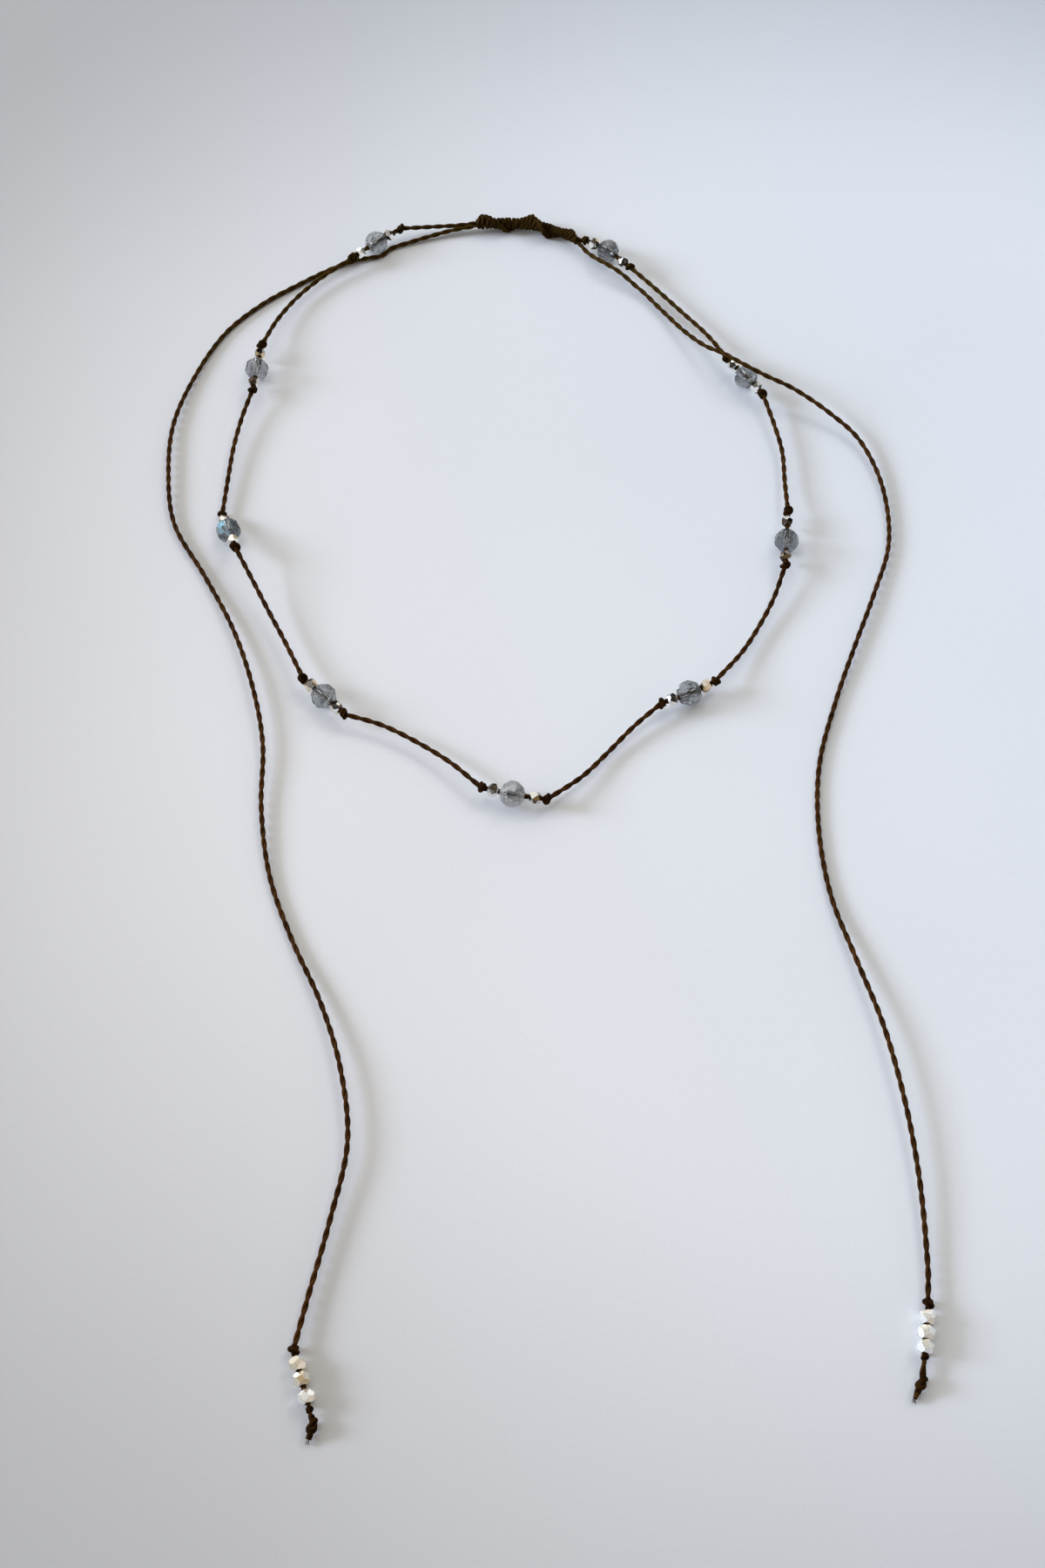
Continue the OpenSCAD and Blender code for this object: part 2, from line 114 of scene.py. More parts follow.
# Sizes in millimetres, as in the part's source
KNOT_D, KNOT_LEN = 1.5, 1.6
TAIL_KNOT_D = 1.4
SMALL_KNOT_D, SMALL_KNOT_LEN = 1.1, 0.9
TIP_KNOT_D, TIP_KNOT_LEN = 1.6, 3
STONE_Z, TILTED_RISE = 1.97, 0.14
TAIL_NUGGET_Z = 1.058
TURN_AT = 2.05  # from a stone's middle, where the cord turns
STRAND_D, STRAND_GAP = 0.56, 0.75
LEAD = 0.5
RIDGE_START, SLIDER_TURNS = 8, 2.3
# The two strands deep in the sliding knot, where the winding squeezes them
SQUEEZED_D, SQUEEZED_GAP = 0.38, 0.38
# The cord over both plies: its mean thickness is the part's. One full turn of the plies, and the
# space between the rings of a swept cord
TWIST_D = 0.86
PLY_TURN = 4.3
RING_STEP = 0.2
RING_LEAST = 0.03  # rings nearer than this are left out


def unit(v):
    return v / np.linalg.norm(v)


def heading(angle, rise=0):
    a, r = math.radians(angle), math.radians(rise)
    return np.array([math.cos(a) * math.cos(r), math.sin(a) * math.cos(r), math.sin(r)])


def smooth(points, steps):
    """The same curve through the points as in the part's source"""
    p = np.array(points, float)
    q = np.vstack([2 * p[0] - p[1], p, 2 * p[-1] - p[-2]])
    t = np.linspace(0, 1, steps, endpoint=False)[:, None]
    parts = [
        (2 * b + (c - a) * t + (2 * a - 5 * b + 4 * c - d) * t**2 + (3 * b - a - 3 * c + d) * t**3) / 2
        for a, b, c, d in zip(q, q[1:], q[2:], q[3:])
    ]
    return np.vstack(parts + [p[-1:]])


def lengths(points):
    """Length along the points, up to each"""
    return np.concatenate([[0], np.cumsum(np.linalg.norm(np.diff(points, axis=0), axis=1))])


def spaced(points, step=RING_STEP):
    """The same line in even steps"""
    s = lengths(points)
    at = np.linspace(0, s[-1], max(2, round(s[-1] / step) + 1))
    return np.stack([np.interp(at, s, points[:, k]) for k in range(3)], 1)


def group_at(i, along):
    """A place on the cord through group i, along from the middle of its stone"""
    g = GROUPS[i - 1]
    middle = np.array([g[X], g[Y], STONE_Z + (TILTED_RISE if g[RISE] else 0)])
    straight = max(-TURN_AT, min(TURN_AT, along))
    return middle + straight * group_dir(i) + (along - straight) * group_dir(i, along)


def group_dir(i, along=0):
    g = GROUPS[i - 1]
    turn = g[TURN_A] if along < -TURN_AT else g[TURN_B] if along > TURN_AT else 0
    return heading(g[HEADING] + turn, g[RISE])


def slider_at(u):
    """A place on the sliding knot's middle line, 0 at its left mouth and 1 at its right one"""
    return (1 - u) ** 2 * SLIDER_LEFT + 2 * u * (1 - u) * SLIDER_BEND + u * u * SLIDER_RIGHT


def slider_dir(u):
    return unit((1 - u) * (SLIDER_BEND - SLIDER_LEFT) + u * (SLIDER_RIGHT - SLIDER_BEND))


def slider_round(u, r, angle):
    """A point round the sliding knot's middle line, out by r, its angle from the back over the top"""
    a = math.radians(angle)
    side = np.cross([0, 0, 1], slider_dir(u))
    return slider_at(u) + r * (math.cos(a) * side + math.sin(a) * np.array([0, 0, 1]))


# ---- An overhand knot, drawn tight: all in thicknesses of its strand ----
OPEN_SPAN, OPEN_POINTS, OPEN_LEAD = 2.02, 200, 3  # the open knot's curve, and its straight leads
LINK = 0.28  # space between the points of the strand
APART = 1.7  # points nearer than this along the strand don't push each other
PULLS, SWEEPS = 260, 30  # most pulls at the ends, and sweeps after each
PULL, NARROW = 0.03, 0.97  # how far a pull moves an end, and how it draws it in to the axis
PUSH, FIT, STIFF = 0.3, 0.5, 0.03  # shares of overlap, stretch and bend put right in a sweep
TAUT = 1.06  # the knot is tight once its strand is stretched this far

KNOT_HALF = 1.8  # half its length, with a short straight lead
KNOT_WIDE = 2.6
KNOT_REACH = 0.8  # turns that stand out further than this are drawn in
KNOT_STEPS = 3  # points of the smooth curve to a link
KNOT_FULL = 1.95  # the strand swells against its neighbours, which fills the knot
KNOT_PLUMP = 1.16  # share by which the turns stand out over the part's plain swelling
TIP_PLUMP = 0.84  # the same for the long knots at the tips
KNOT_STRAND = 0.95  # the thickest a knot's strand may be, in millimetres


def tight_overhand():
    """Centreline of an overhand knot in a strand 1 thick: an open knot whose ends are pulled apart
    until its turns lie on each other. It comes in along -X and goes out along +X."""
    t = np.linspace(-OPEN_SPAN, OPEN_SPAN, OPEN_POINTS)
    p = np.stack([(t**5 - 10 * t) / 5, t**4 - 4 * t**2 + 1.2, t**3 - 3 * t], 1)
    lead = [OPEN_LEAD, 0, 0]
    p = spaced(np.vstack([p[0] - lead, p, p[-1] + lead]), LINK)
    rest = lengths(p)[-1] / (len(p) - 1)
    i, j = np.triu_indices(len(p), round(APART / rest))
    end = p[-1].copy()
    for _ in range(PULLS):
        end = end * [1, NARROW, NARROW] + [PULL, 0, 0]
        for _ in range(SWEEPS):
            d = p[j] - p[i]
            gap = np.linalg.norm(d, axis=1)
            hit = gap < 1
            push = (PUSH * (1 - gap[hit]) / gap[hit])[:, None] * d[hit]
            np.add.at(p, i[hit], -push)
            np.add.at(p, j[hit], push)
            for start in (0, 1):
                d = p[start + 1 :: 2] - p[start:-1:2]
                size = np.linalg.norm(d, axis=1, keepdims=True)
                move = FIT * (size - rest) / size * d
                p[start:-1:2] += move
                p[start + 1 :: 2] -= move
            p[1:-1] += STIFF * (p[:-2] + p[2:] - 2 * p[1:-1])
            p[0], p[-1] = end * [-1, 1, -1], end
        if lengths(p)[-1] > TAUT * rest * (len(p) - 1):
            break
    return p


def overhand_unit():
    """The knot cut to its length, with both leads on the axis"""
    p = smooth(tight_overhand(), KNOT_STEPS)
    first = np.argmax(p[:, 0] > -KNOT_HALF)
    last = len(p) - 1 - np.argmax(p[::-1, 0] < KNOT_HALF)
    p = p[first : last + 1]
    share = np.clip((p[:, :1] - p[0, 0]) / (p[-1, 0] - p[0, 0]), 0, 1)
    p[:, 1:] -= (1 - share) * p[0, 1:] + share * p[-1, 1:]
    p[:, 0] -= (p[0, 0] + p[-1, 0]) / 2
    out = np.linalg.norm(p[:, 1:], axis=1, keepdims=True)
    far = KNOT_REACH * np.tanh(out / KNOT_REACH)
    on_axis = 1e-6
    p[:, 1:] *= np.where(out > on_axis, far / np.maximum(out, on_axis), 1)
    return p


KNOT = overhand_unit()


# ---- Cords, swept along their centrelines ----
# How far the plies stand apart, as a share of the cord's radius, on bare cord and in a knot
PLIES_APART, PLIES_PRESSED = 0.34, 0.2
EASED_OVER = 5  # rings over which a step in a cord's thickness is spread
SIDES = 16


class Strand:
    """A cord's centreline with its thickness, how far its plies stand apart and whether it is tied,
    collected stretch by stretch, and its plain route without the turns of the knots"""

    def __init__(self):
        self.points, self.width, self.apart, self.tied, self.route = [], [], [], [], []

    def add(self, points, width, apart, tied=0):
        for p in points:
            if not self.points or np.linalg.norm(p - self.points[-1]) > RING_LEAST:
                self.points.append(p)
                self.width.append(width)
                self.apart.append(apart)
                self.tied.append(tied)

    def bare(self, points, width=TWIST_D, apart=PLIES_APART):
        self.route += list(points)
        self.add(spaced(np.array(points)), width, apart)

    def knot(self, centre, dir_in, dir_out, length, width, roll, plump=KNOT_PLUMP):
        """An overhand knot between half a length before its middle and half a length after it"""
        along, out = length / 2 / KNOT_HALF, plump * width / KNOT_WIDE
        side = unit(np.cross(dir_in + dir_out, [0, 0, 1]))
        up = unit(np.cross(side, dir_in + dir_out))
        a = math.radians(roll)
        y = KNOT[:, 1] * math.cos(a) - KNOT[:, 2] * math.sin(a)
        z = KNOT[:, 1] * math.sin(a) + KNOT[:, 2] * math.cos(a)
        x = KNOT[:, :1] * along
        turn = np.clip(x / length + 0.5, 0, 1)
        middle = centre + x * ((1 - turn) * dir_in + turn * dir_out)
        self.route += [centre - length / 2 * dir_in, centre, centre + length / 2 * dir_out]
        turns = middle + out * (y[:, None] * side + z[:, None] * up)
        self.add(turns, min(KNOT_FULL * min(along, out), KNOT_STRAND), PLIES_PRESSED, 1)


def eased_along(values):
    """Values along a strand without their steps"""
    kernel = np.hanning(EASED_OVER + 2)[1:-1]
    return np.convolve(np.pad(values, EASED_OVER // 2, mode="edge"), kernel / kernel.sum(), mode="valid")


def cord_rings(strand, sides):
    """The points round a two-ply cord, ring by ring, and how far along it each ring lies"""
    p = np.array(strand.points)
    width, apart = eased_along(strand.width)[:, None], eased_along(strand.apart)[:, None]
    tangent = np.vstack([p[1] - p[0], p[2:] - p[:-2], p[-1] - p[-2]])
    tangent /= np.linalg.norm(tangent, axis=1, keepdims=True)
    side = unit(np.cross(tangent[0], [0, 0, 1]))
    sides_of = []
    for t in tangent:
        side = unit(side - side.dot(t) * t)
        sides_of.append(side)
    across = np.array(sides_of)
    over = np.cross(across, tangent)
    s = lengths(p)
    angle = np.arange(sides)[None, :] * 2 * math.pi / sides
    reach = apart * np.abs(np.cos(angle)) + np.sqrt((1 - apart) ** 2 - (apart * np.sin(angle)) ** 2)
    turn = angle - 2 * math.pi * s[:, None] / PLY_TURN
    r = width / 2 * reach
    ring = p[:, None] + r[..., None] * (
        np.cos(turn)[..., None] * across[:, None] + np.sin(turn)[..., None] * over[:, None]
    )
    return ring, s


def twisted_cord(name, strand, sides=SIDES):
    """Mesh of a two-ply cord along a strand. Its UV map holds millimetres along and the turn round, and
    the attribute tied is 1 in knots."""
    ring, s = cord_rings(strand, sides)
    n = len(ring)
    verts = ring.reshape(-1, 3) * MM
    a = np.arange(n - 1)[:, None] * sides + np.arange(sides)[None, :]
    b = np.arange(n - 1)[:, None] * sides + (np.arange(sides)[None, :] + 1) % sides
    faces = np.stack([a, a + sides, b + sides, b], -1).reshape(-1, 4).tolist()
    faces += [list(range(sides)), list(range(n * sides - 1, (n - 1) * sides - 1, -1))]
    mesh = bpy.data.meshes.new(name)
    mesh.from_pydata(verts.tolist(), [], faces)
    v0 = np.broadcast_to(np.arange(sides)[None, :] / sides, (n - 1, sides))
    v1 = v0 + 1 / sides
    s0 = np.broadcast_to(s[:-1, None], (n - 1, sides))
    s1 = np.broadcast_to(s[1:, None], (n - 1, sides))
    quads = np.stack([np.stack(corner, -1) for corner in ((s0, v0), (s1, v0), (s1, v1), (s0, v1))], 2)
    ends = [[s[0], k / sides] for k in range(sides)] + [[s[-1], k / sides] for k in range(sides)][::-1]
    uv = mesh.uv_layers.new(name="cord")
    uv.data.foreach_set("uv", np.concatenate([quads.reshape(-1, 2), ends]).astype(np.float32).ravel())
    tied = np.repeat(eased_along(strand.tied), sides)
    mesh.attributes.new("tied", "FLOAT", "POINT").data.foreach_set("value", tied.astype(np.float32))
    mesh.shade_smooth()
    return mesh


def shown(name, mesh, material):
    """A new piece in the scene, riding on the one body"""
    piece = bpy.data.objects.new(name, mesh)
    scene.collection.objects.link(piece)
    mesh.materials.append(material)
    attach(piece, "root")
    return piece


# ---- Nodes ----
def socket_in(tree, node, name, value):
    """Sets a node's input, or links it where the value is another node's output"""
    target = node.inputs[name]
    if isinstance(value, bpy.types.NodeSocket):
        tree.links.new(value, target)
    else:
        target.default_value = value


def add(tree, kind, inputs=None, **settings):
    node = tree.nodes.new("ShaderNode" + kind)
    for key, value in settings.items():
        setattr(node, key, value)
    for name, value in (inputs or {}).items():
        socket_in(tree, node, name, value)
    return node


def maths(tree, operation, a, b=0.0):
    return add(tree, "Math", {0: a, 1: b}, operation=operation).outputs[0]


def weighted(tree, a, share_a, b, share_b):
    """The sum of a share of each of two values"""
    return maths(tree, "ADD", maths(tree, "MULTIPLY", a, share_a), maths(tree, "MULTIPLY", b, share_b))


def vectors(tree, operation, a, b):
    node = add(tree, "VectorMath", {0: a, 1: b}, operation=operation)
    return node.outputs["Value" if operation in ("DOT_PRODUCT", "DISTANCE") else "Vector"]


def split(tree, vector):
    """A vector's three parts"""
    return add(tree, "SeparateXYZ", {0: vector}).outputs


def noise(tree, place, scale, detail, roughness=0.5, distortion=0.0):
    inputs = {"Vector": place, "Scale": scale, "Detail": detail}
    return add(tree, "TexNoise", {**inputs, "Roughness": roughness, "Distortion": distortion}).outputs[0]


def mapped(tree, value, start, end, low=0.0, high=1.0, kind="LINEAR"):
    """A value that goes from start to end, made to go from low to high and to stay there outside"""
    inputs = {0: value, 1: start, 2: end, 3: low, 4: high}
    return add(tree, "MapRange", inputs, interpolation_type=kind).outputs[0]


def mixed(tree, factor, a, b, blend="MIX"):
    node = add(tree, "Mix", data_type="RGBA", blend_type=blend)
    socket_in(tree, node, 0, factor)
    socket_in(tree, node, 6, a)
    socket_in(tree, node, 7, b)
    return node.outputs[2]


def ramp(tree, value, stops):
    node = add(tree, "ValToRGB", {"Fac": value})
    for stop in node.color_ramp.elements[1:]:
        node.color_ramp.elements.remove(stop)
    first = node.color_ramp.elements[0]
    first.position, first.color = stops[0]
    for place, colour in stops[1:]:
        node.color_ramp.elements.new(place).color = colour
    return node.outputs["Color"]


def bumped(tree, shader, height, strength, distance):
    bump = add(tree, "Bump", {"Height": height, "Strength": strength, "Distance": distance})
    socket_in(tree, shader, "Normal", bump.outputs[0])


# ---- Materials ----
def new_material(name):
    """A material with its nodes, its shader and the place on the piece"""
    material = bpy.data.materials.new(name)
    material.use_nodes = True
    tree = material.node_tree
    return material, tree, tree.nodes["Principled BSDF"], add(tree, "TexCoord").outputs["Object"]


def cord_material(name, dark, light, olive, gloss):
    """Waxed two-ply cord: filaments along the plies, painted shade in the grooves and patches of dull wax.
    The cord at the back of the neck is more olive, and painted shade darkens cord in knots."""
    material, tree, shader, place = new_material(name)
    uv = split(tree, add(tree, "UVMap", uv_map="cord").outputs[0])
    turn = maths(tree, "MULTIPLY", uv[1], 2 * math.pi)
    cosine, sine = maths(tree, "COSINE", turn), maths(tree, "SINE", turn)
    # Filaments: noise drawn out along the cord, on a circle so that it meets itself
    drawn_out, circle = 0.5, 5
    fibre_at = add(tree, "CombineXYZ", {
        0: maths(tree, "MULTIPLY", uv[0], drawn_out),
        1: maths(tree, "MULTIPLY", cosine, circle),
        2: maths(tree, "MULTIPLY", sine, circle),
    })
    fibre = noise(tree, fibre_at.outputs[0], 1.6, 3, 0.6)
    patch = noise(tree, place, 260, 3, 0.6)
    wax = noise(tree, place, 1900, 2)
    shade = weighted(tree, fibre, 0.55, patch, 0.5)
    colour = ramp(tree, shade, [(0.32, (*dark, 1)), (0.72, (*light, 1))])
    towards_back = mapped(tree, split(tree, place)[1], 0.0, 0.06)
    colour = mixed(tree, maths(tree, "MULTIPLY", towards_back, 0.7), colour, (*olive, 1))
    # Painted shade in the groove between the plies, rounded where it opens
    painted_groove_shade = add(tree, "Math", {0: maths(tree, "ABSOLUTE", cosine), 1: 0.6, 2: 0.5}, operation="SMOOTH_MIN")
    colour = mixed(tree, 1.0, colour, mapped(tree, painted_groove_shade.outputs[0], 0.05, 0.55, 0.15, 1.0), "MULTIPLY")
    # Painted shade: cord in the knots is darkened to half, standing in for shade between the tight turns
    tied = add(tree, "Attribute", attribute_name="tied").outputs["Fac"]
    colour = mixed(tree, 1.0, colour, mapped(tree, tied, 0.0, 1.0, 1.0, 0.5), "MULTIPLY")
    socket_in(tree, shader, "Base Color", colour)
    socket_in(tree, shader, "Roughness", mapped(tree, wax, 0.3, 0.7, 0.34, 0.6))
    shader.inputs["Specular IOR Level"].default_value = gloss
    bumped(tree, shader, maths(tree, "ADD", fibre, maths(tree, "MULTIPLY", wax, 0.5)), 0.55, 0.06 * MM)
    return material


def stone_material(name, deep, milk, clear=0.9, painted_glint=None):
    """Faceted translucent stone: milky clouds inside, dark needles and fine pits, each facet a little
    different. A painted glint is a painted highlight that glows on the facets facing one way: the way it
    faces, how near a facet must face it, its colour and its strength."""
    material, tree, shader, place = new_material(name)
    edge = 0.06
    facet = add(tree, "NewGeometry").outputs["True Normal"]
    cloud = noise(tree, place, 330, 3, 0.5, 1.6)
    pits = noise(tree, place, 4200, 2)
    tone = noise(tree, facet, 3.1, 0)
    colour = ramp(tree, weighted(tree, cloud, 0.5, tone, 0.65), [(0.40, (*deep, 1)), (0.74, (*milk, 1))])
    drawn_out = (1.0, 0.45, 0.16)
    needle = noise(tree, vectors(tree, "MULTIPLY", place, drawn_out), 1500, 2, 0.5, 0.6)
    colour = mixed(tree, 1.0, colour, mapped(tree, needle, 0.54, 0.66, 1.0, 0.42), "MULTIPLY")
    # Painted glint: facets that face one way take a glowing colour, a painted highlight
    if painted_glint:
        facing, near, glint_colour, strength = painted_glint
        lit = mapped(tree, vectors(tree, "DOT_PRODUCT", facet, facing), near, near + edge)
        share = maths(tree, "MULTIPLY", lit, mapped(tree, cloud, 0.3, 0.6, 0.35, 1.0))
        colour = mixed(tree, share, colour, (*glint_colour, 1))
        socket_in(tree, shader, "Emission Color", (*glint_colour, 1))
        socket_in(tree, shader, "Emission Strength", maths(tree, "MULTIPLY", share, strength))
    socket_in(tree, shader, "Base Color", colour)
    socket_in(tree, shader, "Roughness", mapped(tree, pits, 0.35, 0.75, 0.03, 0.14))
    shader.inputs["IOR"].default_value = 1.53
    shader.inputs["Transmission Weight"].default_value = clear
    bumped(tree, shader, pits, 0.03, 0.03 * MM)
    return material


# Colour of the dark facets: a painted dark reflection, partly tarnish
TARNISH_AND_DARK_REFLECTION = (0.075, 0.055, 0.035)


def silver_material(
    name, bright=(0.93, 0.92, 0.89), warm=(0.80, 0.60, 0.34), dark_from=0.53, dull=0.06, warm_from=0.55
):
    """Polished silver, cut by hand: faint scratches; some facets darkened, partly tarnish and partly a
    painted dark reflection, and some warm, partly warm tarnish and partly a painted warm reflection
    """
    material, tree, shader, place = new_material(name)
    golden_over, dark_over, dull_over = 0.09, 0.05, 0.14
    # A facet's tone comes from the way it faces and from its nugget's place
    facet = add(tree, "NewGeometry").outputs["True Normal"]
    key = vectors(tree, "ADD", facet, vectors(tree, "MULTIPLY", place, (60, 60, 60)))
    # Warm facets: partly warm tarnish, partly a painted reflection of warm things around
    golden = mapped(tree, noise(tree, key, 1.9, 1), warm_from, warm_from + golden_over)
    colour = mixed(tree, golden, (*bright, 1), (*warm, 1))
    # Dark facets: a painted dark reflection of the room, partly tarnish
    key = vectors(tree, "ADD", key, (7.3, 2.1, 4.7))
    dark = mapped(tree, noise(tree, key, 2.6, 1), dark_from, dark_from + dark_over)
    socket_in(tree, shader, "Base Color", mixed(tree, dark, colour, (*TARNISH_AND_DARK_REFLECTION, 1)))
    shader.inputs["Metallic"].default_value = 1.0
    scratch = noise(tree, place, 5200, 3, 0.6)
    socket_in(tree, shader, "Roughness", mapped(tree, scratch, 0.3, 0.7, dull, dull + dull_over))
    bumped(tree, shader, scratch, 0.15, 0.02 * MM)
    return material


CORD = cord_material(
    "waxed_cord", (0.006, 0.0024, 0.0004), (0.094, 0.038, 0.009), (0.056, 0.034, 0.005), 0.012
)
# The sliding knot's winding gets a darker copy of the same cord: painted shade between its tight hitches
WOUND = cord_material(
    "knotted_cord", (0.008, 0.003, 0.0008), (0.060, 0.027, 0.006), (0.040, 0.023, 0.005), 0.01
)
STONE = stone_material("grey_stone", (0.15, 0.16, 0.165), (0.80, 0.82, 0.83))
# Painted glints: a cyan and a white highlight painted onto facets, glowing through emission
CYAN_PAINTED_GLINT = (-0.62, -0.20, 0.76), 0.87, (0.37, 0.78, 1.0), 0.35
WHITE_PAINTED_GLINT = (0.14, -0.22, 0.96), 0.92, (0.95, 0.97, 1.0), 0.25
GLINT_PAINTED_STONE = stone_material("painted_glint_stone", (0.075, 0.09, 0.10), (0.42, 0.46, 0.49), painted_glint=CYAN_PAINTED_GLINT)
PALE_STONE = stone_material("pale_stone", (0.26, 0.27, 0.275), (0.98, 0.99, 0.99), 0.74, WHITE_PAINTED_GLINT)
DUSKY_STONE = stone_material("dusky_stone", (0.12, 0.13, 0.135), (0.56, 0.58, 0.60))
SMOKY_STONE = stone_material("smoky_stone", (0.09, 0.10, 0.105), (0.42, 0.44, 0.46))
SILVER = silver_material("silver")
WHITE_SILVER = silver_material("white_silver", warm=(0.88, 0.87, 0.84))
GOLDEN_SILVER = silver_material("golden_silver", warm_from=0.40)
BRIGHT_SILVER = silver_material("bright_silver", (0.95, 0.95, 0.92), (0.90, 0.84, 0.72), 0.68, 0.24)
GILT_SILVER = silver_material("gilt_silver", (0.80, 0.73, 0.62), (0.64, 0.49, 0.29), 0.66, 0.2)


# ---- The loop's cord ----
MOUTH = 0.06  # share of the sliding knot's length over which its mouths open
STRAND_STEPS = 90
GAP_STEPS = 12
KNOT_ROLL, KNOT_ROLL_B = 137, 70  # each knot is turned differently: by its group, and after the stone


def gap_ends(g):
    start = strand_at(0, 1) if g == 0 else group_at(g, GROUPS[g - 1][KNOT_B])
    end = strand_at(1, -1) if g == len(LOOP_ROUTE) - 1 else group_at(g + 1, -GROUPS[g][KNOT_A])
    return start, end


def gap_dirs(g):
    start, end = gap_ends(g)
    line = [start] + [np.array(p, float) for p in LOOP_ROUTE[g]] + [end]
    return unit(line[1] - line[0]), unit(line[-1] - line[-2])


def mouth(u):
    """1 at the mouths of the sliding knot and 0 inside"""
    return max(0, 1 - min(u, 1 - u) / MOUTH)


def strand_at(u, side):
    """A strand in the sliding knot; the winding squeezes the two together inside"""
    return slider_round(u, side * (SQUEEZED_GAP + (STRAND_GAP - SQUEEZED_GAP) * mouth(u)) / 2, 180 * u)


def strand_run(strand, side, start, end):
    for u in np.linspace(start, end, STRAND_STEPS):
        strand.add([strand_at(u, side)], SQUEEZED_D + (STRAND_D - SQUEEZED_D) * mouth(u), PLIES_PRESSED)


def loop_strand():
    strand = Strand()
    strand_run(strand, 1, 1, 0)
    for g in range(len(LOOP_ROUTE)):
        start, end = gap_ends(g)
        out, into = gap_dirs(g)
        if g:
            start = start + KNOT_LEN / 2 * out
        if g < len(LOOP_ROUTE) - 1:
            end = end - KNOT_LEN / 2 * into
        strand.bare(smooth([start] + LOOP_ROUTE[g] + [end], GAP_STEPS))
        i = g + 1
        if i > len(GROUPS):
            break
        before, after, roll = -GROUPS[g][KNOT_A], GROUPS[g][KNOT_B], KNOT_ROLL * i
        strand.knot(group_at(i, before), into, group_dir(i, before), KNOT_LEN, KNOT_D, roll)
        strand.bare([
            group_at(i, before + KNOT_LEN / 2), group_at(i, -TURN_AT), group_at(i, TURN_AT),
            group_at(i, after - KNOT_LEN / 2),
        ])
        out = gap_dirs(i)[0]
        strand.knot(group_at(i, after), group_dir(i, after), out, KNOT_LEN, KNOT_D, roll + KNOT_ROLL_B)
    strand_run(strand, -1, 1, 0)
    return strand


loop = shown("loop_cord_twist", twisted_cord("loop_cord_twist", loop_strand()), CORD)
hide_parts("loop_cord")


# ---- The tails ----
LEAD_D = 0.6  # the cord as it leaves the sliding knot
TAIL_STEPS = 10
TAIL_ROLL, SMALL_ROLL, TIP_ROLL = 40, 200, 310
HAIRS, HAIR_D, HAIR_SIDES, HAIR_STEPS = 9, 0.09, 6, 4
HAIR_REACH, HAIR_ROOT = (0.3, 0.8), 0.4  # how far they stand out of the cut, and how deep they start
HAIR_OFF, HAIR_OUT, HAIR_SPREAD = 0.2, (0.3, 1), (0.6, 1, 1.9)  # off the middle: most, share, and on the way
PATH_STEPS = 39  # of the path that is given with a tail


def frayed(strand_end, direction, seed):
    """Short stiff ends of filaments at a cut tip, as strands"""
    rng = np.random.default_rng(seed)
    side = unit(np.cross(direction, [0, 0, 1]))
    up = np.cross(side, direction)
    for _ in range(HAIRS):
        a, out = rng.uniform(0, 2 * math.pi), rng.uniform(*HAIR_OUT)
        off = HAIR_OFF * out * (math.cos(a) * side + math.sin(a) * up)
        reach = rng.uniform(*HAIR_REACH)
        way = -HAIR_ROOT, 0.2 * reach, reach
        yield np.array([strand_end + d * direction + s * off for d, s in zip(way, HAIR_SPREAD)])


def hair(points):
    strand = Strand()
    strand.bare(smooth(points, HAIR_STEPS), HAIR_D)
    return twisted_cord("hair", strand, sides=HAIR_SIDES)


def tail_strand(out, route, end, small, tip):
    """From the sliding knot along the route, through three nuggets to the cut tip"""
    u = 0 if out < 0 else 1
    root = strand_at(u, out)
    first = np.array([end[0], end[1], TAIL_NUGGET_Z])
    direction = heading(end[2])
    last = first + small * direction
    knot_at, cut = np.array(tip[0]), np.array(tip[1])
    dir_in = unit(first - np.array(route[-1]))
    dir_tip = unit(knot_at - last)
    dir_cut = unit(cut - knot_at)
    led = root + out * LEAD * slider_dir(u)
    strand = Strand()
    strand.bare([root, led], LEAD_D)
    strand.bare(smooth([led] + route + [first - KNOT_LEN / 2 * dir_in], TAIL_STEPS))
    strand.knot(first, dir_in, direction, KNOT_LEN, TAIL_KNOT_D, TAIL_ROLL)
    strand.bare([first + KNOT_LEN / 2 * direction, last - SMALL_KNOT_LEN / 2 * direction])
    strand.knot(last, direction, dir_tip, SMALL_KNOT_LEN, SMALL_KNOT_D, SMALL_ROLL)
    strand.bare([last + SMALL_KNOT_LEN / 2 * dir_tip, knot_at - TIP_KNOT_LEN / 2 * dir_tip])
    strand.knot(knot_at, dir_tip, dir_cut, TIP_KNOT_LEN, TIP_KNOT_D, TIP_ROLL, TIP_PLUMP)
    strand.bare([knot_at + TIP_KNOT_LEN / 2 * dir_cut, cut])
    return strand


def joined(name, meshes):
    """One mesh of several, with their UV maps"""
    bm = bmesh.new()
    for m in meshes:
        bm.from_mesh(m)
    mesh = bpy.data.meshes.new(name)
    bm.to_mesh(mesh)
    bm.free()
    mesh.shade_smooth()
    return mesh


def tail(name, node, nuggets, out, route, end, small, tip, seed):
    """A tail's piece, its path and length in metres, and the names of its nuggets"""
    strand = tail_strand(out, route, end, small, tip)
    cut = np.array(tip[1])
    fray = [hair(h) for h in frayed(cut, unit(cut - np.array(tip[0])), seed)]
    piece = shown(name, joined(name, [twisted_cord(name, strand)] + fray), CORD)
    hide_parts(node)
    route_line = np.array(strand.route) * MM
    length = lengths(route_line)[-1]
    return piece, spaced(route_line, length / PATH_STEPS), length, nuggets


